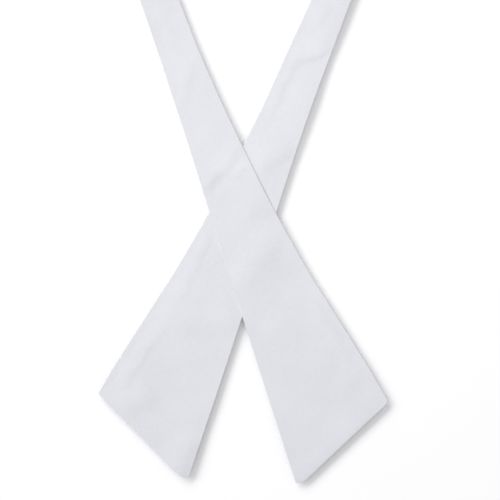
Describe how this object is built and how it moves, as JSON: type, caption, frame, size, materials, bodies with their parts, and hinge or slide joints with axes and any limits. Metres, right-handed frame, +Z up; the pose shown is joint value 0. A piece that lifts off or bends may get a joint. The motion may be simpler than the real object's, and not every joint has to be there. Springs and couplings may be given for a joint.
{
  "type": "sailor tie",
  "caption": "Plain white sewn cloth sailor tie laid flat: flared blades with slanting ends cross below an open neckband.",
  "frame": {"origin": "middle of the tie's box, on the table that it lies on", "axes": "+Y up the tie from the tips to the back of the neck, +X across it to the right as seen from above, +Z up from the table"},
  "size_m": [0.1926, 0.4873, 0.024],
  "materials": {
    "tie_cloth": "matt plain weave"
  },
  "bodies": {
    "root": {"blade_over": "tie_cloth", "blade_under": "tie_cloth", "neckband": "tie_cloth"}
  },
  "joints": []
}
